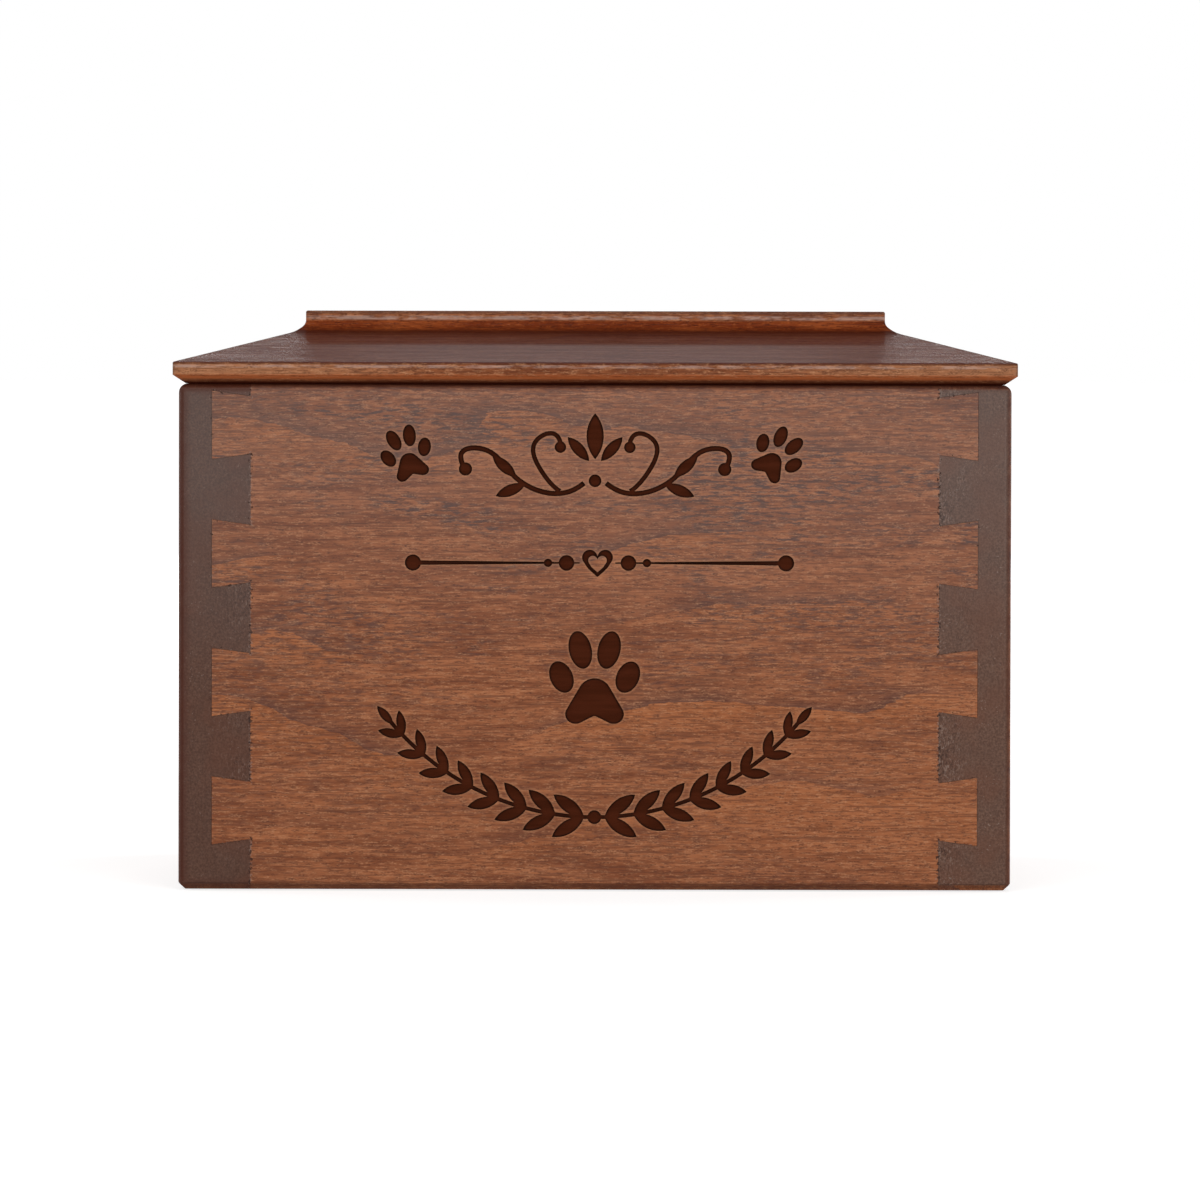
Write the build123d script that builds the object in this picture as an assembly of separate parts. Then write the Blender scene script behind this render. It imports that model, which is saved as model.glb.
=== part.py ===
from build123d import *
from math import cos, radians, sin, tan
import os

# walls: width and depth over the outside, height without the lid
box_width = 144.0
box_depth = 108.0
box_height = 87.5
side_board = 12.5  # left and right boards, which carry the pins
face_board = 12.5  # front and back boards, which carry the tails
corner_round = 1.2  # upright outer edges
rim_round = 1.7  # outer top edge
foot_chamfer = 1.2  # outer bottom edge
rim_ease = 0.5  # inner top edge

# half-blind dovetails
tail_pitch = 22.225
first_tail = 13.65  # middle of the lowest tail above the bottom
tail_end = 11.8  # width of a tail at its end
tail_angle = 8.0
joint_lap = 5.8  # wood left in front of the tail ends
joint_play = 0.05
least_pin = 0.9  # thinnest half pin allowed at the top

# bottom board in a groove behind the lowest tail
base_board = 6.0
groove_depth = 5.0
groove_play = 0.15
base_room = 0.4  # for the wood to swell

# lid
lid_overhang = 1.0
lid_thickness = 12.7
lid_border = 22.3  # from the edge to the raised field
edge_top = 3.7  # where the bevel meets the upright edge
edge_corner = 0.6
under_run = 2.2
under_rise = 1.5
field_step = 2.35
cove_run = 1.65
cove_drop = 1.3
cove_tight = 1.5
cove_wide = 5.0
arris = 0.35

# battens under the lid and their screws
cleat_width = 8.0
cleat_height = 6.0
cleat_play = 0.5  # to the walls
cleat_ease = 0.6
mitre_play = 0.05
screw_length = 11.0
screw_shank = 1.3
screw_head = 2.7
screw_rim = 0.25
screw_tip = 2.5
screw_play = 0.05
slot_width = 0.7
slot_depth = 0.6

# engraving on the front, the upper part measured down from the rim
engrave_depth = 0.7
paw_drop = 12.6
paw_left = 32.4  # from the middle of the front
paw_right = 31.2
lean_left = 18.0
lean_right = 36.0
paw_small = 1.0
paw_large = 1.75
crest_drop = 13.5
divider_drop = 30.9
divider_left = 31.9  # from the heart to the end ball
divider_right = 32.6
heart_offset = 0.45
heart_width = 5.35
garland_low = 12.6
garland_radius = 46.0
garland_sweep = 50.0
garland_leaves = 8
leaf_length = 6.6

inner_width = box_width - 2 * side_board
inner_depth = box_depth - 2 * face_board
tail_length = side_board - joint_lap
tail_room = box_height - first_tail - tail_end / 2 - least_pin
tail_count = int(tail_room / tail_pitch) + 1
lid_width = box_width + 2 * lid_overhang
lid_depth = box_depth + 2 * lid_overhang
groove_low = first_tail - base_board / 2
front_face = Plane(origin=(0, -box_depth / 2, 0), x_dir=(1, 0, 0), z_dir=(0, -1, 0))


def closed(points):
    return make_face(Polyline(*points, close=True))


def block(width, depth, height, middle):
    return Pos(*middle) * Box(width, depth, height)


def eased_walls():
    whole = block(box_width, box_depth, box_height, (0, 0, box_height / 2))
    whole = fillet(whole.faces().sort_by(Axis.Z)[-1].edges(), rim_round)
    whole = chamfer(whole.faces().sort_by(Axis.Z)[0].edges(), foot_chamfer)
    return whole & extrude(RectangleRounded(box_width, box_depth, corner_round), box_height)


def tail(side, level, play):
    flare = tan(radians(tail_angle))
    root = inner_width / 2
    end = root + tail_length + play
    wide = tail_end / 2 + play / cos(radians(tail_angle)) + play * flare
    narrow = wide - (end - root) * flare
    corners = [(root, -narrow), (end, -wide), (end, wide), (root, narrow)]
    return closed([(side * x, level + z) for x, z in corners])


def tails(side, end, play):
    levels = [first_tail + i * tail_pitch for i in range(tail_count)]
    wall = Plane(origin=(0, end * box_depth / 2, 0), x_dir=(1, 0, 0), z_dir=(0, -1, 0))
    return [extrude(wall * tail(side, z, play), end * (face_board + play)) for z in levels]


def groove(play):
    outer_width = inner_width + 2 * (groove_depth - play)
    outer_depth = inner_depth + 2 * (groove_depth - play)
    tall = base_board if play else base_board + groove_play
    return block(outer_width, outer_depth, tall, (0, 0, groove_low + tall / 2))


walls = eased_walls()
rim_plane = Plane((0, 0, box_height))
rim_mouth = Rectangle(inner_width + 2 * rim_ease, inner_depth + 2 * rim_ease)
rim_cut = extrude(rim_plane * rim_mouth, -rim_ease, taper=45)
base_groove = groove(0)


def tail_board(end):
    middle = (0, end * (box_depth - face_board) / 2, box_height / 2)
    board = block(inner_width, face_board, box_height, middle)
    for side in (-1, 1):
        for solid in tails(side, end, 0):
            board += solid
    return (board & walls) - base_groove - rim_cut


def pin_board(side):
    middle = (side * (box_width - side_board) / 2, 0, box_height / 2)
    board = block(side_board, box_depth, box_height, middle) & walls
    for end in (-1, 1):
        for socket in tails(side, end, joint_play):
            board -= socket
    return board - base_groove - rim_cut


def rings(*circles):
    return make_hull([edge for x, y, r in circles for edge in (Pos(x, y) * Circle(r)).edges()])


def paw(size):
    pad = rings((0, -1.1, 1.7), (-1.95, -2.95, 0.95), (1.95, -2.95, 0.95))
    mark = pad - closed([(0, -3.1), (1.6, -3.9), (1.6, -5), (-1.6, -5), (-1.6, -3.9)])
    for corner, radius in (((0, -3.1), 0.4), ((-1.6, -3.9), 0.8), ((1.6, -3.9), 0.8)):
        mark = fillet(mark.vertices().sort_by_distance(corner)[0], radius)
    for side in (-1, 1):
        mark += Pos(side * 1.42, 3.4) * Rot(0, 0, -13 * side) * Ellipse(1.13, 1.89)
        mark += Pos(side * 3.28, 0.72) * Rot(0, 0, -24 * side) * Ellipse(1.13, 1.63)
    return scale(mark, size)


def heart(width):
    top = (width * 0.25, 0, width * 0.248)
    side = (width * 0.145, -width * 0.21, width * 0.222)
    lobe = rings(top, side, (0, -width * 0.6, width * 0.03))
    return lobe + mirror(lobe, Plane.YZ)


def leaf(length, width):
    upper = ThreePointArc((0, 0), (length / 2, width / 2), (length, 0))
    lower = ThreePointArc((length, 0), (length / 2, -width / 2), (0, 0))
    return make_face(upper + lower)


def divider():
    rim = heart(heart_width) - Pos(0, -heart_width * 0.1) * scale(heart(heart_width), 0.6)
    line = Pos(0, heart_width * 0.18) * rim
    for side, reach in ((-1, divider_left), (1, divider_right)):
        outer = side * reach
        inner = side * (heart_width / 2 + 0.4)
        line += Pos(outer, 0) * Circle(1.4)
        line += Pos(side * 8.55, 0) * Circle(0.72)
        line += Pos(side * 5.35, 0) * Circle(1.35)
        line += closed([(outer, 0.4), (inner, 0.12), (inner, -0.12), (outer, -0.4)])
    return line


def stroke(side, points, width):
    return trace(Spline(*[(side * x, y) for x, y in points]), width)


def sprig(side, x, y, lean):
    return Pos(side * x, y) * Rot(0, 0, 90 - side * lean) * leaf(5.6, 2.0)


def crest():
    vine = [(1.9, -3.6), (7.5, -5.4), (14.0, -2.4), (19.2, 2.2), (22.8, 1.9), (22.6, -1.0)]
    curl = [(6.0, -5.0), (9.6, -1.0), (10.4, 3.4), (7.6, 5.0), (5.9, 2.8)]
    shape = Pos(0, 0.5) * Rot(0, 0, 90) * leaf(8.0, 3.0) + Pos(0, -3.2) * Circle(1.1)
    for side in (-1, 1):
        shape += stroke(side, vine, 0.9) + stroke(side, curl, 0.8)
        shape += Pos(side * 22.4, -1.2) * Circle(1.15) + Pos(side * 6.0, 2.6) * Circle(1.0)
        for x, y, lean in ((13.6, -2.6, 48), (12.0, -3.8, 112), (1.0, 0.2, 42)):
            shape += sprig(side, x, y, lean)
    return shape


def garland():
    # two sprays of laurel from the middle outwards
    shape = Circle(1.2)
    for side in (-1, 1):
        start = -90 if side > 0 else -90 - garland_sweep
        stem = CenterArc((0, garland_radius), garland_radius, start, garland_sweep)
        shape += trace(stem, 0.7)
        for i in range(garland_leaves + 1):
            tip = i == garland_leaves
            heading = garland_sweep * min(0.985, (i + 0.35) / garland_leaves)
            turn = radians(heading)
            foot = (side * garland_radius * sin(turn), garland_radius * (1 - cos(turn)))
            long = leaf_length * (1 - 0.045 * i)
            for lean in (0,) if tip else (34, -34):
                angle = 90 - side * (90 - heading - lean)
                shape += Pos(*foot) * Rot(0, 0, angle) * leaf(long, long * 0.36)
    return shape


def engraving():
    divider_height = box_height - divider_drop
    art = Pos(heart_offset, divider_height) * divider()
    art += Pos(0, box_height - crest_drop) * crest()
    art += Pos(0, garland_low) * garland()
    art += Pos(0, (garland_low + divider_height) / 2 + 1) * paw(paw_large)
    for place, lean in ((-paw_left, lean_left), (paw_right, -lean_right)):
        art += Pos(place, box_height - paw_drop) * Rot(0, 0, lean) * paw(paw_small)
    return extrude(front_face * art, -engrave_depth)


def lid_waste(half, long):
    # what is cut away along one edge of the lid
    field = half - lid_border
    foot = (field, lid_thickness - field_step)
    brow = (field + cove_run, foot[1] - cove_drop)
    shoulder = (half, edge_top)
    under = half - under_run
    beyond = half + lid_border
    face = closed([(field, lid_thickness + 1), foot, brow, shoulder, (half, under_rise),
                   (under, 0), (under, -1), (beyond, -1), (beyond, lid_thickness + 1)])
    for corner, radius in ((foot, cove_tight), (brow, cove_wide), (shoulder, arris)):
        face = fillet(face.vertices().sort_by_distance(corner)[0], radius)
    return extrude(Plane.XZ * face, long, both=True)


def raised_lid():
    lid = block(lid_width + 1, lid_depth + 1, lid_thickness, (0, 0, lid_thickness / 2))
    for quarter in range(4):
        half, long = (lid_depth / 2, lid_width) if quarter % 2 else (lid_width / 2, lid_depth)
        lid -= Rot(0, 0, 90 * quarter) * lid_waste(half, long)
    lid &= extrude(RectangleRounded(lid_width, lid_depth, edge_corner), lid_thickness)
    return fillet(lid.faces().sort_by(Axis.Z)[-1].edges(), arris)


def screw(play):
    head = screw_head + play
    shank = screw_shank + play
    end = screw_length + play
    taper = screw_length - screw_tip
    cone = screw_rim + head - shank
    point = 0.2 + play
    half = [(0, 0), (head, 0), (head, screw_rim), (shank, cone), (shank, taper), (point, end), (0, end)]
    return revolve(Plane.XZ * closed(half), Axis.Z)


def cleat(long, reach):
    # a mitred batten along X, its outer side at -reach
    half = long / 2 - mitre_play
    inner = half - cleat_width
    near = cleat_width - reach
    outline = closed([(-half, -reach), (half, -reach), (inner, near), (-inner, near)])
    bar = extrude(outline, -cleat_height)
    return chamfer(bar.faces().sort_by(Axis.Z)[0].edges(), cleat_ease)


cleat_long = inner_width - 2 * cleat_play
cleat_short = inner_depth - 2 * cleat_play
screw_seats = []
for side in (-1, 1):
    for share in (-0.3, 0.3):
        screw_seats.append((share * cleat_long, side * (cleat_short - cleat_width) / 2))
        screw_seats.append((side * (cleat_long - cleat_width) / 2, share * cleat_short))

screw_low = box_height - cleat_height
holes = [Pos(x, y, screw_low) * screw(screw_play) for x, y in screw_seats]
slot = block(slot_width, 3 * screw_head, 2 * slot_depth, (0, 0, 0))
screws = []
for i, (x, y) in enumerate(screw_seats):
    screws.append(Pos(x, y, screw_low) * Rot(0, 0, 37 * i) * (screw(0) - slot))

lid_panel = rim_plane * raised_lid()
cleats = {
    "front": cleat(cleat_long, cleat_short / 2),
    "back": Rot(0, 0, 180) * cleat(cleat_long, cleat_short / 2),
    "left": Rot(0, 0, -90) * cleat(cleat_short, cleat_long / 2),
    "right": Rot(0, 0, 90) * cleat(cleat_short, cleat_long / 2),
}

nodes = {
    "front_panel": tail_board(-1) - engraving(),
    "back_panel": tail_board(1),
    "left_side": pin_board(-1),
    "right_side": pin_board(1),
    "base_panel": groove(base_room),
    "lid_panel": lid_panel,
    "cleat_screws": Compound(children=screws),
}
for place, bar in cleats.items():
    nodes["lid_cleat_" + place] = rim_plane * bar
for hole in holes:
    for name in ("lid_panel", "lid_cleat_front", "lid_cleat_back", "lid_cleat_left", "lid_cleat_right"):
        nodes[name] -= hole

os.makedirs("parts", exist_ok=True)
for name, solid in nodes.items():
    export_step(solid, "parts/" + name + ".step")
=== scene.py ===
import bpy
from math import atan2, pi, radians, tan
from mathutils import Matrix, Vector


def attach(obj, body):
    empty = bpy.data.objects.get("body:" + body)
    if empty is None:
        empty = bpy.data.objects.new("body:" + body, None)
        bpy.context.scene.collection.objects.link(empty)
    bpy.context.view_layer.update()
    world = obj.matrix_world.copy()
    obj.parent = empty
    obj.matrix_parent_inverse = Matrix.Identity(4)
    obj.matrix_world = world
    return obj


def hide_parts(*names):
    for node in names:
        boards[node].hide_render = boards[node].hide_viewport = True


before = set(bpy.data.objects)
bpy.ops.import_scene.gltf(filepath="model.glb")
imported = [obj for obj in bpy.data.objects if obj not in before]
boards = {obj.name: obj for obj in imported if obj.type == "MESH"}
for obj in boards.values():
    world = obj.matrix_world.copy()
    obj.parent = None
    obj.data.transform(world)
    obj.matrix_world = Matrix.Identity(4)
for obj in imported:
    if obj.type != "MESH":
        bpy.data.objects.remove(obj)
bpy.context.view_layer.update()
scene = bpy.context.scene
scene.view_settings.view_transform = "Standard"
print("frame loaded:", len(boards), "pieces")


def boxOf(name):  # low and high corner of a piece, mm
    corners = boards[name].bound_box
    return Vector(corners[0]) * 1000, Vector(corners[6]) * 1000


# sizes that the finishes follow, in mm: from the frame, then those of the joint and of the raised field
sideLow, sideHigh = boxOf("right_side")
backLow, backHigh = boxOf("back_panel")
lidLow, lidHigh = boxOf("lid_panel")
joinery = {
    "halfWidth": sideHigh.x, "halfDepth": backHigh.y, "wallTop": lidLow.z,
    "innerHalfWidth": sideLow.x, "innerHalfDepth": backLow.y,
    "lidHalfWidth": lidHigh.x, "lidHalfDepth": lidHigh.y,
    "tailLength": backHigh.x - sideLow.x, "tailEndHalf": 5.9, "tailAngle": 8.0, "tailPitch": 22.225,
    "firstTail": 13.65, "fieldHalfWidth": 50.7, "fieldHalfDepth": 32.7,
}


# node helpers

def put(tree, socket, value):
    if isinstance(value, bpy.types.NodeSocket):
        tree.links.new(value, socket)
    else:
        socket.default_value = value


def calc(tree, operation, *values, clamp=False):
    node = tree.nodes.new("ShaderNodeMath")
    node.operation = operation
    node.use_clamp = clamp
    for socket, value in zip(node.inputs, values):
        put(tree, socket, value)
    return node.outputs[0]


def times(tree, first, *others):
    for other in others:
        first = calc(tree, "MULTIPLY", first, other)
    return first


def vectorCalc(tree, operation, *values):
    node = tree.nodes.new("ShaderNodeVectorMath")
    node.operation = operation
    for socket, value in zip(node.inputs, values):
        put(tree, socket, value)
    return node.outputs["Value" if operation == "LENGTH" else "Vector"]


def soft(tree, value, low, high, fromEnd=0.0, toEnd=1.0):
    node = tree.nodes.new("ShaderNodeMapRange")
    node.interpolation_type = "SMOOTHSTEP"
    for name, entry in (("Value", value), ("From Min", low), ("From Max", high),
                        ("To Min", fromEnd), ("To Max", toEnd)):
        put(tree, node.inputs[name], entry)
    return node.outputs["Result"]


# rises between the first two limits, falls from the strength to nothing between the last two
def band(tree, value, limits, strength=1.0):
    return times(tree, soft(tree, value, *limits[0:2]), soft(tree, value, *limits[2:4], strength, 0.0))


def noise(tree, vector, scale, detail=3.0, roughness=0.55, distortion=0.0):
    node = tree.nodes.new("ShaderNodeTexNoise")
    put(tree, node.inputs["Vector"], vector)
    for name, value in (("Scale", scale), ("Detail", detail),
                        ("Roughness", roughness), ("Distortion", distortion)):
        put(tree, node.inputs[name], value)
    return node.outputs["Fac"]


# noise drawn out along an axis: the stretch is repeats per mm along X, Y and Z
def stretched(tree, vector, stretch, detail, roughness, distortion=0.0):
    return noise(tree, vectorCalc(tree, "MULTIPLY", vector, stretch), 1.0, detail, roughness, distortion)


def blend(tree, factor, first, second, mode="MIX"):
    node = tree.nodes.new("ShaderNodeMix")
    node.data_type = "RGBA"
    node.blend_type = mode
    put(tree, node.inputs[0], factor)
    put(tree, node.inputs[6], first)
    put(tree, node.inputs[7], second)
    return node.outputs[2]


def parts(tree, vector):
    node = tree.nodes.new("ShaderNodeSeparateXYZ")
    put(tree, node.inputs[0], vector)
    return node.outputs[0:3]


def newGroup(name, inputs, outputs):
    tree = bpy.data.node_groups.new(name, "ShaderNodeTree")
    for label, kind, value in inputs:
        socket = tree.interface.new_socket(label, in_out="INPUT", socket_type="NodeSocket" + kind)
        if value is not None:
            socket.default_value = value
    for label in outputs:
        tree.interface.new_socket(label, in_out="OUTPUT", socket_type="NodeSocketFloat")
    return tree, tree.nodes.new("NodeGroupInput").outputs, tree.nodes.new("NodeGroupOutput").inputs


def place(tree, group, **values):
    node = tree.nodes.new("ShaderNodeGroup")
    node.node_tree = group
    for name, value in values.items():
        put(tree, node.inputs[name], value)
    return node.outputs


# how often each mark of the grain repeats along X, Y and Z, per mm
grainStretch = {
    "drift": (0.012, 0.02, 0.02), "ripple": (0.07, 0.2, 0.2), "shown": (0.022, 0.05, 0.05),
    "fibre": (0.07, 0.8, 0.8), "grit": (2.4, 5.0, 5.0), "dash": (0.6, 3.3, 3.3), "hair": (0.11, 3.6, 3.6),
    "fleck": (0.7, 3.2, 3.2), "cloud": (0.024, 0.085, 0.085), "wisp": (0.3, 2.0, 2.0),
    "tone": (0.014, 0.05, 0.05),
}


# cherry: rings round a pith line along X, fibres and pores drawn out along it, all in mm
def makeCherryGrain():
    tree, given, result = newGroup("cherryGrain", [
        ("Vector", "Vector", None), ("PithY", "Float", 20.0), ("PithZ", "Float", -60.0),
        ("RingWidth", "Float", 10.0), ("Wander", "Float", 34.0)],
        ("Figure", "Line", "Glow", "Fibre", "Pores", "Light", "Smoke", "Wisps", "Tone"))
    at = given["Vector"]
    moved = vectorCalc(tree, "ADD", at, (31.0, 17.0, 53.0))

    def marks(name, detail, roughness, distortion=0.0, vector=at):
        return stretched(tree, vector, grainStretch[name], detail, roughness, distortion)

    def about(value, reach):  # noise turned into a push both ways
        return times(tree, calc(tree, "SUBTRACT", value, 0.5), reach)

    y, z = parts(tree, at)[1:3]
    dy = calc(tree, "SUBTRACT", y, given["PithY"])
    dz = calc(tree, "SUBTRACT", z, given["PithZ"])
    radius = calc(tree, "SQRT", calc(tree, "ADD", times(tree, dy, dy), times(tree, dz, dz)))
    drift = calc(tree, "ADD", about(marks("drift", 2.0, 0.45), given["Wander"]),
                 about(marks("ripple", 4.0, 0.6), 3.0))
    turns = calc(tree, "DIVIDE", calc(tree, "ADD", radius, drift), given["RingWidth"])
    ring = calc(tree, "FLOOR", turns)
    within = calc(tree, "FRACT", turns)
    shown = soft(tree, marks("shown", 2.0, 0.5), 0.4, 0.56)

    def season(year):  # some years leave a strong line, some none
        node = tree.nodes.new("ShaderNodeTexWhiteNoise")
        node.noise_dimensions = "1D"
        put(tree, node.inputs["W"], year)
        return times(tree, soft(tree, node.outputs[0], 0.1, 0.7, 0.2, 1.0), shown)

    put(tree, result["Line"], times(tree, calc(tree, "POWER", within, 12.0), season(ring)))
    yearBefore = season(calc(tree, "SUBTRACT", ring, 1.0))
    put(tree, result["Glow"], times(tree, soft(tree, within, 0.0, 0.5, 1.0, 0.0), yearBefore))
    put(tree, result["Figure"], times(tree, calc(tree, "POWER", within, 2.0), 0.5))
    put(tree, result["Fibre"], soft(tree, marks("fibre", 4.0, 0.6), 0.36, 0.64))

    grit = marks("grit", 1.0, 0.5)
    dashes = soft(tree, marks("dash", 2.0, 0.6), 0.45, 0.66)
    dashes = times(tree, dashes, soft(tree, grit, 0.36, 0.6, 0.3, 1.0))
    hairs = soft(tree, marks("hair", 2.0, 0.5, 0.3), 0.55, 0.66, 0.0, 0.75)
    put(tree, result["Pores"], calc(tree, "MAXIMUM", dashes, hairs))
    flecks = soft(tree, marks("fleck", 2.0, 0.6, vector=moved), 0.47, 0.67)
    put(tree, result["Light"], times(tree, flecks, soft(tree, grit, 0.36, 0.6, 1.0, 0.3)))

    wisps = soft(tree, marks("wisp", 4.0, 0.65), 0.46, 0.58)
    put(tree, result["Wisps"], wisps)
    put(tree, result["Smoke"], times(tree, soft(tree, marks("cloud", 5.0, 0.6, 0.5), 0.44, 0.57), wisps))
    put(tree, result["Tone"], marks("tone", 3.0, 0.5))
    return tree


# how near a point is to an edge of a plain block: 1 on the edge, 0 past the reach
def makeEdgeNear():
    tree, given, result = newGroup("edgeNear", [
        ("Vector", "Vector", None), ("HalfWidth", "Float", joinery["halfWidth"]),
        ("HalfDepth", "Float", joinery["halfDepth"]), ("Low", "Float", 0.0),
        ("High", "Float", joinery["wallTop"]), ("Reach", "Float", 1.6)], ("Mask",))
    x, y, z = parts(tree, given["Vector"])
    fromSide = calc(tree, "SUBTRACT", given["HalfWidth"], calc(tree, "ABSOLUTE", x))
    fromFace = calc(tree, "SUBTRACT", given["HalfDepth"], calc(tree, "ABSOLUTE", y))
    fromLow = calc(tree, "SUBTRACT", z, given["Low"])
    fromEnd = calc(tree, "MINIMUM", fromLow, calc(tree, "SUBTRACT", given["High"], z))
    small = calc(tree, "MINIMUM", fromSide, fromFace)
    large = calc(tree, "MAXIMUM", fromSide, fromFace)
    second = calc(tree, "MAXIMUM", small, calc(tree, "MINIMUM", large, fromEnd))
    ragged = calc(tree, "SUBTRACT", noise(tree, given["Vector"], 0.35, 3.0, 0.6), 0.5)
    second = calc(tree, "ADD", second, times(tree, ragged, 0.9))
    put(tree, result["Mask"], soft(tree, second, 0.0, given["Reach"], 1.0, 0.0))
    return tree


# torn fibre along the cut lines of the dovetails, on the front and back of the walls
def makeTornJoint():
    tree, given, result = newGroup("tornJoint", [("Vector", "Vector", None), ("Reach", "Float", 1.0)],
                                   ("Torn", "Pale"))
    x, y, z = parts(tree, given["Vector"])
    pitch = joinery["tailPitch"]
    flare = tan(radians(joinery["tailAngle"]))
    rootHalf = joinery["tailEndHalf"] - joinery["tailLength"] * flare
    slack = 0.3  # past the ends of the cut, mm

    def near(distance):
        return soft(tree, calc(tree, "ABSOLUTE", distance), 0.0, given["Reach"], 1.0, 0.0)

    along = calc(tree, "SUBTRACT", calc(tree, "ABSOLUTE", x), joinery["innerHalfWidth"])
    lifted = calc(tree, "ADD", calc(tree, "SUBTRACT", z, joinery["firstTail"]), pitch * 3.5)
    across = calc(tree, "ABSOLUTE", calc(tree, "SUBTRACT", calc(tree, "MODULO", lifted, pitch), pitch / 2))
    flank = calc(tree, "SUBTRACT", across, calc(tree, "ADD", times(tree, along, flare), rootHalf))
    inJoint = times(tree, calc(tree, "GREATER_THAN", along, -slack),
                    calc(tree, "LESS_THAN", along, joinery["tailLength"] + slack))
    flankNear = times(tree, near(flank), inJoint)
    shoulderNear = times(tree, near(along), calc(tree, "GREATER_THAN", flank, -0.4))
    endNear = times(tree, near(calc(tree, "SUBTRACT", along, joinery["tailLength"])),
                    calc(tree, "LESS_THAN", flank, 0.4))
    nearest = calc(tree, "MAXIMUM", shoulderNear, times(tree, calc(tree, "MAXIMUM", flankNear, endNear), 0.7))
    away = times(tree, calc(tree, "SUBTRACT", 1.0, nearest), 0.3)
    nearAny = calc(tree, "GREATER_THAN", nearest, 0.02)
    for label, shift, size in (("Torn", (0.0, 0.0, 0.0), 1.8), ("Pale", (40.0, 0.0, 90.0), 2.2)):
        specks = noise(tree, vectorCalc(tree, "ADD", given["Vector"], shift), size, 2.0, 0.55)
        kept = soft(tree, calc(tree, "SUBTRACT", specks, away), 0.52, 0.6)
        put(tree, result[label], times(tree, kept, nearAny))
    return tree


cherryGrain = makeCherryGrain()
edgeNear = makeEdgeNear()
tornJoint = makeTornJoint()
print("grain, edge and joint groups built")


# colours of the stained and the bare cherry, linear
stain = {
    "pale": (0.325, 0.112, 0.044, 1),
    "deep": (0.180, 0.052, 0.019, 1),
    "pore": (0.088, 0.027, 0.013, 1),
    "smoke": (0.078, 0.038, 0.031, 1),
    "sheen": (0.170, 0.162, 0.160, 1),
    "amber": (0.330, 0.110, 0.040, 1),
    "orange": (0.370, 0.118, 0.036, 1),
    "tan": (0.46, 0.215, 0.105, 1),
    "paintedGlow": (0.46, 0.120, 0.038, 1),
    "paleWearSheen": (0.47, 0.33, 0.28, 1),
    "edge": (0.060, 0.015, 0.008, 1),
    "endPale": (0.122, 0.062, 0.042, 1),
    "endDeep": (0.066, 0.030, 0.020, 1),
    "endRed": (0.110, 0.040, 0.022, 1),
    "fleck": (0.26, 0.19, 0.16, 1),
    "torn": (0.022, 0.009, 0.006, 1),
    "darkStainAndShade": (0.040, 0.0070, 0.0030, 1),
    "cove": (0.145, 0.0235, 0.0042, 1),
    "ember": (0.37, 0.088, 0.020, 1),
    "wine": (0.076, 0.0140, 0.0110, 1),
    "burnt": (0.054, 0.0095, 0.0017, 1),
    "charredAndShade": (0.013, 0.0034, 0.0012, 1),
}
bare = {
    "pale": (0.48, 0.245, 0.125, 1),
    "deep": (0.32, 0.140, 0.066, 1),
    "pore": (0.20, 0.082, 0.040, 1),
    "tan": (0.56, 0.32, 0.18, 1),
}
untinted = (1, 1, 1, 1)


def objectMillimetres(tree):
    place3d = tree.nodes.new("ShaderNodeTexCoord")
    return vectorCalc(tree, "MULTIPLY", place3d.outputs["Object"], (1000.0, 1000.0, 1000.0))


def alongGrain(tree, millimetres, turn, shift):
    node = tree.nodes.new("ShaderNodeMapping")
    put(tree, node.inputs["Vector"], millimetres)
    node.inputs["Rotation"].default_value = (0, 0, radians(turn))
    node.inputs["Location"].default_value = shift
    return node.outputs["Vector"]


# 1 beside a wall that stands up from the surface, or inside beside one that drops away from it
def nearWall(tree, reach, inside, shut, free):
    node = tree.nodes.new("ShaderNodeAmbientOcclusion")
    node.only_local = True
    node.inside = inside
    node.samples = 12
    node.inputs["Distance"].default_value = reach
    return soft(tree, node.outputs["AO"], shut, free, 1.0, 0.0)


def addBump(tree, shader, height, strength, distance):
    bump = tree.nodes.new("ShaderNodeBump")
    bump.inputs["Strength"].default_value = strength
    bump.inputs["Distance"].default_value = distance
    put(tree, bump.inputs["Height"], height)
    put(tree, shader.inputs["Normal"], bump.outputs["Normal"])


# the finishes below work on one dictionary per board: where the point is, its grain, and the
# colour, height, gloss and coat so far

def over(tree, board, mask, tone):
    board["colour"] = blend(tree, mask, board["colour"], tone)


def grainColour(tree, grain, tones, look):
    colour = blend(tree, grain["Fibre"], tones["pale"], tones["deep"])
    return blend(tree, times(tree, grain["Figure"], look["figure"]), colour, tones["deep"])


def withinOuter(tree, board):  # mm in from the outer faces of the walls
    return calc(tree, "MINIMUM", calc(tree, "SUBTRACT", joinery["halfWidth"], board["awayX"]),
                calc(tree, "SUBTRACT", joinery["halfDepth"], board["awayY"]))


def aboveWalls(tree, board):  # mm up from the top of the walls, where the lid lies
    return calc(tree, "SUBTRACT", board["z"], joinery["wallTop"])


# painted shade darkens the crevice between the walls and the lid: mm in from the outer faces, mm up
creviceShadeReach = {"within": (1.8, 3.6), "rim": (-0.65, -0.05)}


def nearOuter(tree, board):
    return soft(tree, withinOuter(tree, board), *creviceShadeReach["within"], 1.0, 0.0)


def rimCreviceShade(tree, board, look):
    atTop = soft(tree, aboveWalls(tree, board), *creviceShadeReach["rim"])
    # painted shade along the tops of the walls, under the lid's edge
    over(tree, board, times(tree, atTop, nearOuter(tree, board)), stain["darkStainAndShade"])


smokeHeights = {"clouds": (20.0, 62.0), "wisps": (62.0, 88.0)}  # the smoke thickens over these, mm


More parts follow.
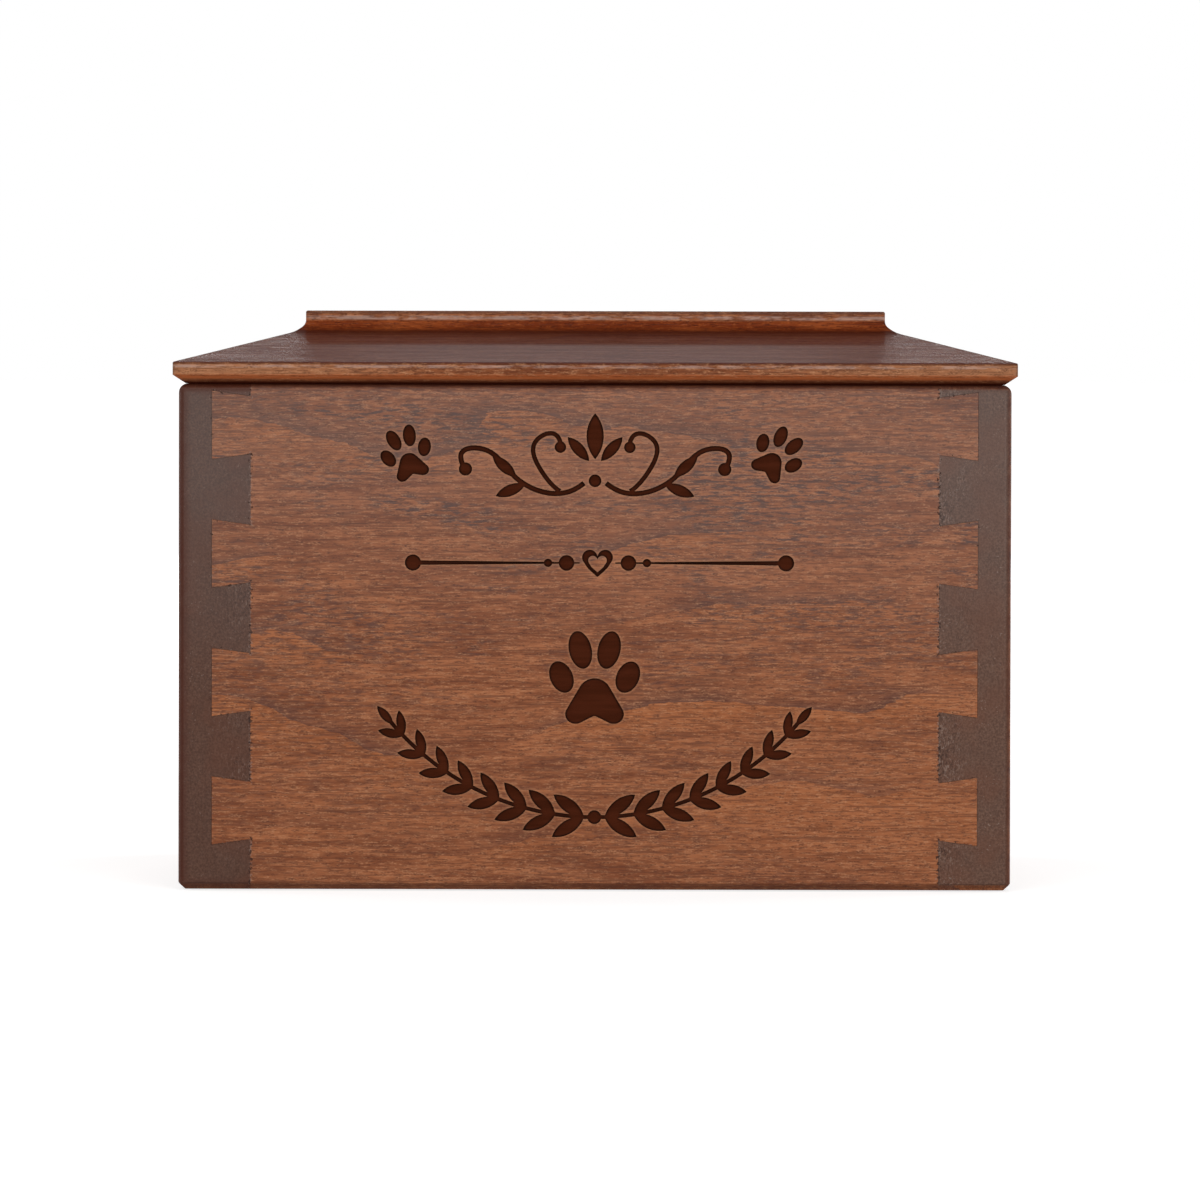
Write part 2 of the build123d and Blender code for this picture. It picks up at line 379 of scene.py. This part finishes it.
def stainedGrain(tree, board, look):
    grain = board["grain"]
    smoke = look["smoke"]
    over(tree, board, soft(tree, grain["Tone"], 0.45, 0.65, 0.0, 0.5), stain["amber"])
    over(tree, board, times(tree, grain["Glow"], look["figure"] * 0.6), stain["orange"])
    over(tree, board, times(tree, grain["Line"], look["figure"]), stain["smoke"])
    clouds = times(tree, grain["Smoke"], soft(tree, board["z"], *smokeHeights["clouds"], smoke * 0.35, smoke))
    wisps = times(tree, grain["Wisps"], soft(tree, board["z"], *smokeHeights["wisps"], 0.0, smoke * 0.6))
    over(tree, board, calc(tree, "MAXIMUM", clouds, wisps), stain["smoke"])


# cut ends: fade in from the face and reach of the torn fibre in mm, noise in repeats per mm
cutEnd = {
    "fade": (0.45, 0.1), "pits": 2.8, "pitHeight": 0.8, "redPatches": 0.09, "specks": 2.6,
    "speckPatches": 0.16, "tornPatches": 0.11, "tornReach": 7.5, "hairs": (2.6, 2.6, 1.1),
}


def cutEnds(tree, board, look):  # they drink more stain
    grain = board["grain"]
    spot = board["spot"]
    reach = board["awayX"] if look["endAxis"] == "x" else board["awayY"]
    onEnd = soft(tree, reach, look["endAt"] - cutEnd["fade"][0], look["endAt"] - cutEnd["fade"][1])
    pits = noise(tree, spot, cutEnd["pits"], 3.0, 0.6)
    end = {"colour": blend(tree, soft(tree, pits, 0.3, 0.7), stain["endDeep"], stain["endPale"])}
    red = noise(tree, spot, cutEnd["redPatches"], 2.0)
    over(tree, end, soft(tree, red, 0.45, 0.62, 0.0, 0.4), stain["endRed"])
    over(tree, end, times(tree, grain["Figure"], 0.35), stain["endDeep"])
    specks = soft(tree, noise(tree, spot, cutEnd["specks"], 2.0, 0.5), 0.64, 0.74)
    patches = soft(tree, noise(tree, spot, cutEnd["speckPatches"], 2.0, 0.5), 0.45, 0.62)
    over(tree, end, times(tree, specks, patches, 0.5), stain["fleck"])

    torn = soft(tree, noise(tree, spot, cutEnd["tornPatches"], 2.0, 0.5), 0.42, 0.56)  # pulled by the cutter
    inner = joinery["innerHalfWidth"]
    torn = times(tree, torn, soft(tree, board["awayX"], inner, inner + cutEnd["tornReach"], 1.0, 0.1))
    hairs = stretched(tree, spot, cutEnd["hairs"], 3.0, 0.6, 1.4)
    over(tree, end, times(tree, soft(tree, hairs, 0.36, 0.46, 0.75, 0.0), torn), stain["torn"])
    over(tree, end, times(tree, soft(tree, hairs, 0.54, 0.66, 0.0, 0.5), torn), stain["fleck"])
    # painted shade: the ends are scaled darker on the left side and lighter on the right, as light falls from
    # the right
    over(tree, board, onEnd, blend(tree, 1.0, end["colour"], look["endPaintedShade"], "MULTIPLY"))
    board["height"] = calc(tree, "ADD", board["height"], times(tree, pits, onEnd, cutEnd["pitHeight"]))


sheenSpread = {"heights": (40.0, 92.0), "waver": 24.0}  # mm


def paintedSheen(tree, board, look):  # painted sheen: a pale grey veil, more of it higher up, for light reflected off the upper faces
    raised = calc(tree, "ADD", board["z"], times(tree, board["grain"]["Tone"], sheenSpread["waver"]))
    over(tree, board, soft(tree, raised, *sheenSpread["heights"], 0.0, look["sheen"]), stain["sheen"])


def edgeStainAndShade(tree, board, look):
    # painted shade, with some stain soaked in: darker towards the corners and edges of the block
    near = place(tree, edgeNear, Vector=board["spot"], **look["edges"])["Mask"]
    over(tree, board, times(tree, near, look["edgeStrength"]), stain["edge"])


# heights over the underside of the lid where each mark comes in, or comes in and goes again, mm
lidMarks = {
    "gap": (0.1, 0.8), "edgeGlow": (0.6, 1.1, 1.3, 1.8), "edgeFace": (0.8, 1.4),
    "edgeRub": (2.6, 2.85, 3.15, 3.3), "edgeLine": (3.22, 3.45), "bevel": (3.45, 3.65),
    "cove": (8.3, 9.1, 10.8, 11.2), "fieldSide": (10.8, 11.2), "fieldSheen": (11.0, 11.4, 11.65, 12.0),
    "arris": (12.0, 12.3), "field": (12.4, 12.6),
}
lidReach = {  # the handled and shiny lengths from the middle, the others out from the field, mm
    "handled": (15.0, 66.0), "untouched": (8.0, 40.0), "shineEnds": (15.0, 55.0), "arris": (-0.7, -0.3),
    "slope": (0.7, 2.0), "shine": (0.7, 9.0), "slopeFade": (2.0, 11.0), "byCove": (1.0, 7.0),
}


def lidWearAndPaintedLight(tree, board, outside, onEdge):  # hands have rubbed the ends of the edge paler; painted highlights along the edge, partly wear, and along the side of the field, and a painted shade line on the field's top arris
    rise = board["rise"]
    handled = soft(tree, board["awayX"], *lidReach["handled"], 0.0, 0.45)
    over(tree, board, times(tree, handled, onEdge, soft(tree, rise, *lidMarks["edgeFace"])), stain["tan"])
    untouched = soft(tree, board["awayX"], *lidReach["untouched"], 0.4, 0.0)
    over(tree, board, times(tree, untouched, onEdge), stain["deep"])
    # painted highlights: a pale band on the side of the field, and one on the edge that is partly wear
    paleBands = calc(tree, "ADD", band(tree, rise, lidMarks["fieldSheen"], 0.6),
                  band(tree, rise, lidMarks["edgeRub"], 0.5))
    ragged = soft(tree, stretched(tree, board["spot"], (0.3, 0.3, 1.2), 3.0, 0.6), 0.34, 0.6)
    over(tree, board, times(tree, paleBands, ragged), stain["paleWearSheen"])
    # painted shade: a dark line along the top arris of the field
    arris = times(tree, soft(tree, rise, *lidMarks["arris"]), soft(tree, outside, *lidReach["arris"]))
    over(tree, board, times(tree, arris, 0.55), stain["smoke"])


def lidCovePaintedGlow(tree, board):  # painted glow: a warm orange in the hollow of the cove, for light bounced about in it, with the grain's flecks and pores
    grain = board["grain"]
    flame = stretched(tree, board["spot"], (0.05, 0.05, 0.3), 4.0, 0.65)
    hollow = {"colour": blend(tree, soft(tree, flame, 0.4, 0.64, 0.0, 0.5), stain["cove"], stain["ember"])}
    over(tree, hollow, times(tree, grain["Light"], 0.5), stain["ember"])
    over(tree, hollow, times(tree, grain["Pores"], 0.7), stain["darkStainAndShade"])
    over(tree, board, band(tree, board["rise"], lidMarks["cove"], 0.98), hollow["colour"])


def lidEdgePaintedShadeAndGlow(tree, board, onEdge):
    grain = board["grain"]
    rise = board["rise"]
    # painted shade: a dark line under the top arris of the edge
    over(tree, board, times(tree, soft(tree, rise, *lidMarks["edgeLine"]), onEdge, 0.6), stain["darkStainAndShade"])
    # painted glow: an orange band low on the edge, for light reflected onto the under-chamfer
    over(tree, board, band(tree, rise, lidMarks["edgeGlow"], 0.85), stain["paintedGlow"])
    handy = calc(tree, "MAXIMUM", onEdge, soft(tree, rise, *lidMarks["fieldSide"], 0.0, 0.5))
    over(tree, board, times(tree, grain["Light"], handy, 0.55), stain["tan"])
    over(tree, board, times(tree, grain["Pores"], handy, 0.5), stain["pore"])


def lidBevelAndPaintedShade(tree, board, outside, look):  # wine red, glossier down the slope and on the field; painted shade darkens the slope, most beside the cove
    grain = board["grain"]
    rise = board["rise"]
    onSlope = times(tree, soft(tree, rise, *lidMarks["bevel"]), soft(tree, outside, *lidReach["slope"]))
    shine = times(tree, onSlope, soft(tree, outside, *lidReach["shine"], 0.1, 1.0),
                  soft(tree, board["awayX"], *lidReach["shineEnds"], 1.0, 0.45))
    shine = calc(tree, "MAXIMUM", shine, soft(tree, rise, *lidMarks["field"], 0.0, 0.3))
    board["coat"] = soft(tree, shine, 0.0, 1.0, look["coat"], look["coat"] + look["shineGain"])
    slope = {"colour": blend(tree, times(tree, grain["Fibre"], 0.45), stain["wine"], stain["darkStainAndShade"])}
    over(tree, slope, times(tree, grain["Light"], 0.14), stain["amber"])
    # painted shade: the slope darkest beside the cove, and all of it darker, over its wine-red stain
    over(tree, slope, soft(tree, outside, *lidReach["byCove"], 0.9, 0.0), stain["darkStainAndShade"])
    fade = soft(tree, outside, *lidReach["slopeFade"], 0.82, 0.76)
    over(tree, board, times(tree, onSlope, fade), slope["colour"])


def lidFinishAndPaintedLight(tree, board, look):
    board["rise"] = aboveWalls(tree, board)
    outside = calc(tree, "MAXIMUM", calc(tree, "SUBTRACT", board["awayX"], joinery["fieldHalfWidth"]),
                   calc(tree, "SUBTRACT", board["awayY"], joinery["fieldHalfDepth"]))  # mm out from the field
    onEdge = calc(tree, "LESS_THAN", withinOuter(tree, board), -0.5)
    lidWearAndPaintedLight(tree, board, outside, onEdge)
    lidCovePaintedGlow(tree, board)
    lidEdgePaintedShadeAndGlow(tree, board, onEdge)
    lidBevelAndPaintedShade(tree, board, outside, look)
    # painted shade on the underside of the lid's edge, in the crevice over the walls
    below = soft(tree, board["rise"], *lidMarks["gap"], 1.0, 0.0)
    over(tree, board, times(tree, below, nearOuter(tree, board)), stain["darkStainAndShade"])


def tornJoints(tree, board, look):
    tears = place(tree, tornJoint, Vector=board["spot"])
    onFace = calc(tree, "GREATER_THAN", board["awayY"], joinery["halfDepth"] - 0.4)
    torn = times(tree, tears["Torn"], onFace)
    over(tree, board, times(tree, tears["Pale"], onFace, 0.35), stain["fleck"])
    over(tree, board, times(tree, torn, 0.85), stain["torn"])
    board["height"] = calc(tree, "SUBTRACT", board["height"], times(tree, torn, 2.0))
    board["gloss"] = calc(tree, "ADD", board["gloss"], times(tree, torn, 0.2))


# the field that holds the engraving, in mm, and how far its walls shade, in metres
engraved = {
    "halfWidth": 46.0, "middle": 44.5, "halfHeight": 39.0, "deepest": 1.5,
    "sunk": (0.04, 0.22), "shade": 0.0006,
}


def engravingCharAndShade(tree, board, look):  # burnt below the face, with painted shade beside the walls and a painted highlight along the rim
    depth = calc(tree, "ADD", board["y"], joinery["halfDepth"])
    fromMiddle = calc(tree, "ABSOLUTE", calc(tree, "SUBTRACT", board["z"], engraved["middle"]))
    onDesign = times(tree, calc(tree, "LESS_THAN", board["awayX"], engraved["halfWidth"]),
                     calc(tree, "LESS_THAN", fromMiddle, engraved["halfHeight"]),
                     calc(tree, "LESS_THAN", depth, engraved["deepest"]))
    sunk = times(tree, soft(tree, depth, *engraved["sunk"]), onDesign)
    # painted highlight: a pale rim where the face drops into the engraving
    rim = nearWall(tree, engraved["shade"], True, 0.55, 0.95)
    over(tree, board, times(tree, rim, onDesign, 0.22), stain["tan"])
    charAndShade = blend(tree, times(tree, board["grain"]["Fibre"], 0.3), stain["burnt"], stain["charredAndShade"])
    # painted shade: darker beside the walls of the engraving, over the char there
    charAndShade = blend(tree, nearWall(tree, engraved["shade"], False, 0.5, 0.95), charAndShade, stain["charredAndShade"])
    over(tree, board, sunk, charAndShade)
    board["gloss"] = calc(tree, "ADD", board["gloss"], times(tree, sunk, 0.25))
    board["coat"] = soft(tree, sunk, 0.0, 1.0, look["coat"], 0.0)


def unstainedRoom(tree, board, look):
    grain = board["grain"]
    slack = 0.06  # past the inner faces, mm
    room = times(tree, calc(tree, "LESS_THAN", board["awayX"], joinery["innerHalfWidth"] + slack),
                 calc(tree, "LESS_THAN", board["awayY"], joinery["innerHalfDepth"] + slack))
    plain = {"colour": grainColour(tree, grain, bare, look)}
    over(tree, plain, times(tree, grain["Line"], look["figure"]), bare["pore"])
    over(tree, plain, times(tree, grain["Light"], 0.5), bare["tan"])
    over(tree, plain, times(tree, grain["Pores"], 0.55), bare["pore"])
    over(tree, board, room, plain["colour"])
    board["gloss"] = calc(tree, "ADD", board["gloss"], times(tree, room, 0.12))


def startBoard(tree, look):
    spot = objectMillimetres(tree)
    x, y, z = parts(tree, spot)
    grain = place(tree, cherryGrain, Vector=alongGrain(tree, spot, look["turn"], look["shift"]),
                  PithY=look["pith"][0], PithZ=look["pith"][1],
                  RingWidth=look["ringWidth"], Wander=look["wander"])
    depth = calc(tree, "SUBTRACT", times(tree, grain["Fibre"], -0.3), times(tree, grain["Pores"], 0.6))
    return {
        "spot": spot, "y": y, "z": z, "grain": grain, "height": depth, "coat": look["coat"],
        "awayX": calc(tree, "ABSOLUTE", x), "awayY": calc(tree, "ABSOLUTE", y),
        "gloss": soft(tree, grain["Fibre"], 0.0, 1.0, look["rough"] - 0.04, look["rough"] + 0.06),
    }


def woodMaterial(name, look):
    material = bpy.data.materials.new(name)
    material.use_nodes = True
    tree = material.node_tree
    board = startBoard(tree, look)
    grain = board["grain"]
    tones = bare if look["bare"] else stain
    board["colour"] = grainColour(tree, grain, tones, look)
    if look["bare"]:
        over(tree, board, times(tree, grain["Line"], look["figure"]), bare["pore"])
    else:
        stainedGrain(tree, board, look)
    over(tree, board, times(tree, grain["Light"], look["light"]), tones["tan"])
    over(tree, board, times(tree, grain["Pores"], look["pores"]), tones["pore"])
    if look["tint"] != untinted:
        board["colour"] = blend(tree, 1.0, board["colour"], look["tint"], "MULTIPLY")
    for wanted, finish in (
            (look["endAxis"], cutEnds), (look["sheen"], paintedSheen), (look["edges"], edgeStainAndShade),
            (look["paintedLightAndWear"] == "rim", rimCreviceShade), (look["paintedLightAndWear"] == "cove", lidFinishAndPaintedLight),
            (look["joint"], tornJoints), (look["burnt"], engravingCharAndShade), (look["inside"], unstainedRoom)):
        if wanted:
            finish(tree, board, look)

    shader = tree.nodes["Principled BSDF"]
    put(tree, shader.inputs["Base Color"], board["colour"])
    put(tree, shader.inputs["Roughness"], board["gloss"])
    put(tree, shader.inputs["Coat Weight"], board["coat"])
    shader.inputs["Specular IOR Level"].default_value = look["specular"]
    shader.inputs["Coat Roughness"].default_value = look["coatRough"]
    addBump(tree, shader, board["height"], look["bump"], 0.0002)
    return material


plainBoard = {
    "turn": 0, "shift": (0, 0, 0), "pith": (20.0, -60.0), "ringWidth": 13.0, "wander": 40.0,
    "figure": 0.8, "pores": 0.8, "light": 0.55, "smoke": 0.95, "sheen": 0.18, "tint": untinted,
    "rough": 0.5, "specular": 0.06, "coat": 0.1, "coatRough": 0.28, "bump": 0.3, "shineGain": 0.2,
    "endAxis": None, "endAt": 0.0, "endPaintedShade": untinted, "edges": None, "edgeStrength": 0.8,
    "paintedLightAndWear": None, "bare": False, "joint": False, "burnt": False, "inside": False,
}
wallEdges = {
    "HalfWidth": joinery["halfWidth"], "HalfDepth": joinery["halfDepth"],
    "Low": 0.0, "High": joinery["wallTop"], "Reach": 1.5,
}
lidEdges = {  # upright corners only, so the block is taken as taller than the lid
    "HalfWidth": joinery["lidHalfWidth"], "HalfDepth": joinery["lidHalfDepth"],
    "Low": 50.0, "High": 150.0, "Reach": 0.9,
}
wall = {"joint": True, "edges": wallEdges, "inside": True, "paintedLightAndWear": "rim"}
sideWall = {**wall, "turn": 90, "endAxis": "y", "endAt": joinery["halfDepth"], "edgeStrength": 1.0}
cleat = {"bare": True, "rough": 0.6, "specular": 0.2, "coat": 0.0}
boardLooks = {
    "front_panel": {**wall, "burnt": True, "pith": (20.0, 150.0)},
    "back_panel": {**wall, "shift": (210.0, 15.0, 40.0)},
    # painted light and shade on the sides: the left side's ends darker and its dark edges wider, the right
    # side's ends lighter
    "left_side": {
        **sideWall, "shift": (40.0, 300.0, 12.0), "pith": (330.0, -60.0),
        "endPaintedShade": (0.88, 0.82, 0.78, 1), "edges": {**wallEdges, "Reach": 2.5}},
    "right_side": {
        **sideWall, "shift": (400.0, 80.0, 55.0), "pith": (110.0, -20.0),
        "endPaintedShade": (1.1, 1.12, 1.1, 1), "edges": {**wallEdges, "Reach": 1.1}},
    "lid_panel": {
        "shift": (90.0, 40.0, 300.0), "pith": (-40.0, 330.0), "edges": lidEdges, "paintedLightAndWear": "cove",
        "endAxis": "x", "endAt": joinery["lidHalfWidth"], "tint": (1, 0.97, 0.97, 1), "smoke": 0.4,
        "sheen": 0.0, "coat": 0.04, "coatRough": 0.09, "specular": 0.02},
    "base_panel": {"bare": True, "shift": (20.0, 500.0, 90.0), "rough": 0.62, "specular": 0.2, "coat": 0.0},
    "lid_cleat_front": {**cleat, "shift": (5.0, 30.0, 700.0)},
    "lid_cleat_back": {**cleat, "shift": (95.0, 60.0, 760.0)},
    "lid_cleat_left": {**cleat, "turn": 90, "shift": (15.0, 820.0, 60.0)},
    "lid_cleat_right": {**cleat, "turn": 90, "shift": (35.0, 880.0, 20.0)},
}
for name, changes in boardLooks.items():
    material = woodMaterial(name + "_cherry", {**plainBoard, **changes})
    boards[name].data.materials.clear()
    boards[name].data.materials.append(material)
print("boards finished:", len(boardLooks))


# eight countersunk slotted screws: one threaded screw drawn from its outline, set out on the seats, mm
screwSize = {
    "Length": 11.0, "HeadRadius": 2.7, "ThreadDepth": 0.28, "ThreadPitch": 1.1,
    "SlotWidth": 0.7, "SlotDepth": 0.6, "TurnStep": radians(37.0),
}
screwOutline = [  # along the outline, out from the axis, up from the head's face; parts of the size
    (0.0, 0.0, 0.0), (0.16, 0.965, 0.0), (0.19, 1.0, 0.008), (0.22, 1.0, 0.0227), (0.36, 0.4815, 0.15),
    (0.40, 0.4815, 0.19), (0.86, 0.4815, 0.7727), (0.97, 0.075, 0.99), (1.0, 0.0, 1.0),
]
screwShare = 0.3  # how far from the middle of a batten a screw sits, as a part of the length
threadedShare = (0.42, 0.9)  # the part of the outline that carries the thread
brass = {"bright": (0.62, 0.42, 0.15, 1), "dull": (0.36, 0.22, 0.075, 1), "scratch": (0.78, 0.58, 0.27, 1)}


def combine(tree, **values):
    node = tree.nodes.new("ShaderNodeCombineXYZ")
    for axis, value in values.items():
        put(tree, node.inputs[axis], value)
    return node.outputs[0]


def makeScrewTree():
    tree = bpy.data.node_groups.new("screwRow", "GeometryNodeTree")
    face = tree.interface
    face.new_socket("Seats", in_out="INPUT", socket_type="NodeSocketGeometry")
    for name, value in screwSize.items():
        face.new_socket(name, in_out="INPUT", socket_type="NodeSocketFloat").default_value = value
    face.new_socket("Metal", in_out="INPUT", socket_type="NodeSocketMaterial")
    face.new_socket("Screws", in_out="OUTPUT", socket_type="NodeSocketGeometry")
    given = tree.nodes.new("NodeGroupInput").outputs
    result = tree.nodes.new("NodeGroupOutput").inputs

    def node(kind, **values):
        made = tree.nodes.new(kind)
        for name, value in values.items():
            put(tree, made.inputs[name.replace("_", " ")], value)
        return made

    def outline(column, share):
        curve = tree.nodes.new("ShaderNodeFloatCurve")
        points = curve.mapping.curves[0].points
        for entry in screwOutline[1:-1]:
            points.new(entry[0], entry[column])
        for point, entry in zip(points, screwOutline):
            point.location = (entry[0], entry[column])
            point.handle_type = "VECTOR"
        curve.mapping.update()
        put(tree, curve.inputs["Value"], share)
        return curve.outputs[0]

    # a flat sheet is wrapped round the axis, its Y following the outline
    sheet = node("GeometryNodeMeshGrid", Size_X=1.0, Size_Y=1.0, Vertices_X=37, Vertices_Y=151)
    x, y = parts(tree, tree.nodes.new("GeometryNodeInputPosition").outputs[0])[0:2]
    share = calc(tree, "ADD", y, 0.5)
    turn = times(tree, calc(tree, "ADD", x, 0.5), 2 * pi)
    radius = times(tree, outline(1, share), given["HeadRadius"])
    rise = times(tree, outline(2, share), given["Length"])
    wind = calc(tree, "SUBTRACT", calc(tree, "DIVIDE", rise, given["ThreadPitch"]),
                calc(tree, "DIVIDE", turn, 2 * pi))
    groove = times(tree, calc(tree, "PINGPONG", wind, 0.5), 2.0)
    threaded = times(tree, calc(tree, "GREATER_THAN", share, threadedShare[0]),
                     calc(tree, "LESS_THAN", share, threadedShare[1]))
    cut = times(tree, groove, threaded, given["ThreadDepth"])
    radius = calc(tree, "MAXIMUM", calc(tree, "SUBTRACT", radius, cut), 0.0)
    target = combine(tree, X=times(tree, radius, calc(tree, "COSINE", turn)),
                     Y=times(tree, radius, calc(tree, "SINE", turn)), Z=rise)
    shaped = node("GeometryNodeSetPosition", Geometry=sheet.outputs["Mesh"], Position=target)
    closed = node("GeometryNodeMergeByDistance", Geometry=shaped.outputs[0], Distance=0.0005)

    slotSize = combine(tree, X=given["SlotWidth"], Y=times(tree, given["HeadRadius"], 3.0),
                       Z=times(tree, given["SlotDepth"], 2.0))
    cutter = node("GeometryNodeMeshCube", Size=slotSize)
    slotted = tree.nodes.new("GeometryNodeMeshBoolean")
    slotted.operation = "DIFFERENCE"
    put(tree, slotted.inputs["Mesh 1"], closed.outputs[0])
    tree.links.new(cutter.outputs["Mesh"], slotted.inputs["Mesh 2"])

    index = tree.nodes.new("GeometryNodeInputIndex").outputs[0]
    row = node("GeometryNodeInstanceOnPoints", Points=given["Seats"], Instance=slotted.outputs[0],
               Rotation=combine(tree, Z=times(tree, index, given["TurnStep"])), Scale=(0.001, 0.001, 0.001))
    real = node("GeometryNodeRealizeInstances", Geometry=row.outputs[0])
    painted = node("GeometryNodeSetMaterial", Geometry=real.outputs[0], Material=given["Metal"])
    put(tree, result["Screws"], painted.outputs[0])
    return tree


def brassMaterial():
    material = bpy.data.materials.new("screwBrass")
    material.use_nodes = True
    tree = material.node_tree
    shader = tree.nodes["Principled BSDF"]
    spot = objectMillimetres(tree)
    patches = noise(tree, spot, 0.5, 4.0, 0.6)
    scratches = stretched(tree, spot, (9.0, 2.0, 2.0), 3.0, 0.6)
    colour = blend(tree, soft(tree, patches, 0.4, 0.62), brass["bright"], brass["dull"])
    colour = blend(tree, soft(tree, scratches, 0.58, 0.7, 0.0, 0.4), colour, brass["scratch"])
    put(tree, shader.inputs["Base Color"], colour)
    shader.inputs["Metallic"].default_value = 1.0
    put(tree, shader.inputs["Roughness"], soft(tree, patches, 0.35, 0.65, 0.28, 0.48))
    addBump(tree, shader, scratches, 0.2, 0.0001)
    return material


def screwSeats():  # under the middle line of each batten, mm
    longLow, longHigh = boxOf("lid_cleat_back")
    shortLow, shortHigh = boxOf("lid_cleat_right")
    longAt = (longLow.y + longHigh.y) / 2
    shortAt = (shortLow.x + shortHigh.x) / 2
    seats = []
    for side in (-1, 1):
        for along in (-2 * screwShare, 2 * screwShare):
            seats.append(Vector((along * shortHigh.x, side * longAt, longLow.z)))
            seats.append(Vector((side * shortAt, along * longHigh.y, shortLow.z)))
    return seats


def makeScrews():
    mesh = bpy.data.meshes.new("screwSeats")
    mesh.from_pydata([seat / 1000 for seat in screwSeats()], [], [])
    holder = bpy.data.objects.new("screwSeats", mesh)
    scene.collection.objects.link(holder)
    tree = makeScrewTree()
    modifier = holder.modifiers.new("screwRow", "NODES")
    modifier.node_group = tree
    for item in tree.interface.items_tree:
        if item.in_out == "INPUT" and item.name in screwSize:
            modifier[item.identifier] = screwSize[item.name]
        if item.name == "Metal":
            modifier[item.identifier] = brassMaterial()
    bpy.context.view_layer.update()
    finished = bpy.data.meshes.new_from_object(holder.evaluated_get(bpy.context.evaluated_depsgraph_get()))
    bpy.data.objects.remove(holder)
    screws = bpy.data.objects.new("cleatScrews", finished)
    scene.collection.objects.link(screws)
    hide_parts("cleat_screws")
    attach(screws, "lid")
    return screws


screws = makeScrews()
print("screws set:", len(screws.data.polygons), "faces")


# studio: a white floor and surround that keep the shadow, soft lamps low in front and weaker ones behind
studio = {
    "worldLight": 0.22, "floorTone": 0.55, "floorHalf": 20.0, "floorDrop": 0.0002,
    "nearLift": 0.72, "farLift": 1.0, "liftFrom": 0.15, "liftTo": 0.7, "aim": (0, 0, 0.05),
}
lamps = [  # name, place, width and height in metres, watts
    ("keyLamp", (0.70, -2.1, 0.32), (0.9, 0.9), 24.0),
    ("fillLamp", (-0.70, -2.1, 0.32), (0.9, 0.9), 15.5),
    ("stripLamp", (0.0, -0.9, 1.5), (1.2, 0.14), 5.0),
    ("rightLamp", (1.9, 1.0, 0.5), (0.8, 0.8), 15.0),
    ("leftLamp", (-1.9, 1.0, 0.5), (0.8, 0.8), 15.0),
    ("backLamp", (0.0, 2.2, 0.6), (0.8, 0.8), 18.0),
]


def whiteForCamera(tree):
    path = tree.nodes.new("ShaderNodeLightPath").outputs
    seen = calc(tree, "ADD", path["Is Camera Ray"], path["Is Glossy Ray"], clamp=True)
    return calc(tree, "ADD", seen, path["Is Transmission Ray"], clamp=True)


def makeWorld():
    world = bpy.data.worlds.new("studioWorld")
    scene.world = world
    world.use_nodes = True
    tree = world.node_tree
    light = studio["worldLight"]
    sky = tree.nodes["Background"]
    put(tree, sky.inputs["Color"], blend(tree, whiteForCamera(tree), (light, light, light, 1), (1, 1, 1, 1)))


def floorPaper():
    paint = bpy.data.materials.new("floorPaper")
    paint.use_nodes = True
    tree = paint.node_tree
    tree.nodes.clear()
    tone = studio["floorTone"]
    paper = tree.nodes.new("ShaderNodeBsdfDiffuse")
    paper.inputs["Color"].default_value = (tone, tone, tone, 1)
    lift = tree.nodes.new("ShaderNodeEmission")
    away = vectorCalc(tree, "LENGTH", tree.nodes.new("ShaderNodeTexCoord").outputs["Object"])
    amount = soft(tree, away, studio["liftFrom"], studio["liftTo"], studio["nearLift"], studio["farLift"])
    put(tree, lift.inputs["Strength"], times(tree, whiteForCamera(tree), amount))
    both = tree.nodes.new("ShaderNodeAddShader")
    out = tree.nodes.new("ShaderNodeOutputMaterial")
    clear = tree.nodes.new("ShaderNodeBsdfTransparent")
    oneSided = tree.nodes.new("ShaderNodeMixShader")  # so the underside can be looked at
    tree.links.new(paper.outputs[0], both.inputs[0])
    tree.links.new(lift.outputs[0], both.inputs[1])
    tree.links.new(tree.nodes.new("ShaderNodeNewGeometry").outputs["Backfacing"], oneSided.inputs[0])
    tree.links.new(both.outputs[0], oneSided.inputs[1])
    tree.links.new(clear.outputs[0], oneSided.inputs[2])
    tree.links.new(oneSided.outputs[0], out.inputs["Surface"])
    return paint


def makeFloor():
    mesh = bpy.data.meshes.new("studioFloor")
    low = -studio["floorDrop"]
    far = studio["floorHalf"]
    corners = [(-far, -far, low), (far, -far, low), (far, far, low), (-far, far, low)]
    mesh.from_pydata(corners, [], [(0, 1, 2, 3)])
    floor = bpy.data.objects.new("studioFloor", mesh)
    scene.collection.objects.link(floor)
    mesh.materials.append(floorPaper())


def makeLamps():
    for name, spot, size, watts in lamps:
        lamp = bpy.data.lights.new(name, "AREA")
        lamp.shape = "RECTANGLE"
        lamp.size, lamp.size_y = size
        lamp.energy = watts
        holder = bpy.data.objects.new(name, lamp)
        holder.location = spot
        holder.rotation_euler = (Vector(studio["aim"]) - Vector(spot)).to_track_quat("-Z", "Y").to_euler()
        scene.collection.objects.link(holder)


# camera: level with the lid, far off, long lens; metres, degrees for the roll
shot = {
    "distance": 1.5, "height": 0.0944, "aimHeight": 0.0502, "across": 0.0008, "roll": -0.13,
    "millimetresPerPixel": 0.1728, "pixels": 1200, "sensor": 36.0,
}


def makeCamera():
    lens = bpy.data.cameras.new("photoCamera")
    lens.sensor_width = shot["sensor"]
    lens.lens = shot["sensor"] * shot["distance"] * 1000 / (shot["pixels"] * shot["millimetresPerPixel"])
    lens.clip_end = 100
    holder = bpy.data.objects.new("photoCamera", lens)
    faceY = -joinery["halfDepth"] / 1000
    holder.location = (shot["across"], faceY - shot["distance"], shot["height"])
    dip = atan2(shot["height"] - shot["aimHeight"], shot["distance"])
    holder.rotation_euler = (pi / 2 - dip, radians(shot["roll"]), 0)
    scene.collection.objects.link(holder)
    scene.camera = holder


makeWorld()
makeFloor()
makeLamps()
makeCamera()
print("studio and camera set")
